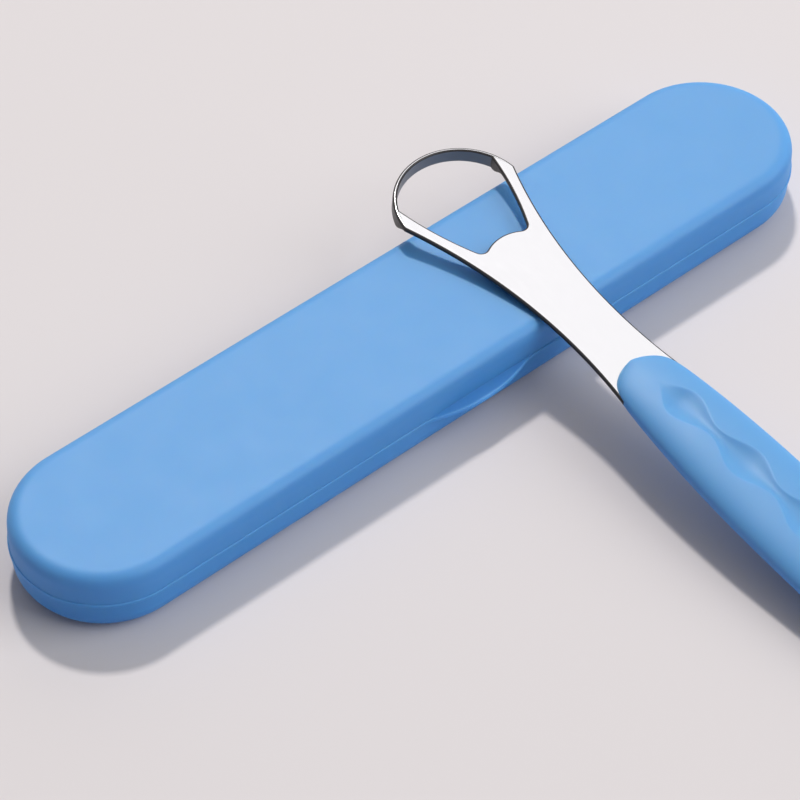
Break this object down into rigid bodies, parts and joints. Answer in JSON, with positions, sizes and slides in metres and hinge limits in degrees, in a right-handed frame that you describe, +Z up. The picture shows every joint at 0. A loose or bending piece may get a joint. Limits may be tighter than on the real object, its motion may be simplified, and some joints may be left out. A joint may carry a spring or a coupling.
{
  "type": "tongue scraper with travel case",
  "caption": "Stainless loop tongue scraper with a moulded scooped handle, leaning on its hinged, round-ended plastic travel case.",
  "frame": {"origin": "middle of the case's flat underside, on the table", "axes": "+X along the case, +Y from the thumb lip to the hinge, +Z up; the scraper leans across the case with its loop towards +Y"},
  "size_m": [0.1726, 0.1477, 0.0195],
  "materials": {
    "case_plastic": "satin moulded polypropylene, light blue",
    "handle_plastic": "satin moulded plastic, light blue",
    "blade_steel": "polished stainless steel",
    "pin_steel": "drawn stainless wire"
  },
  "bodies": {
    "base": {"case_base": "case_plastic", "hinge_pin_left": "pin_steel", "hinge_pin_right": "pin_steel"},
    "lid": {"case_lid": "case_plastic"},
    "scraper": {"scraper_blade": "blade_steel", "scraper_handle": "handle_plastic"}
  },
  "joints": [
    {"name": "lid_hinge", "type": "hinge", "parent": "base", "child": "lid", "pos_m": [0, 0.0179, 0.0058], "axis": [-1, 0, 0], "range_deg": [0, 120]},
    {"name": "scraper_lift", "type": "slide", "parent": "base", "child": "scraper", "axis": [0, 0, 1], "range_m": [0, 0.105]}
  ],
  "couplings": [
    {"joint": "scraper_lift", "follows": "lid_hinge", "m_per_rad": 0.05}
  ]
}
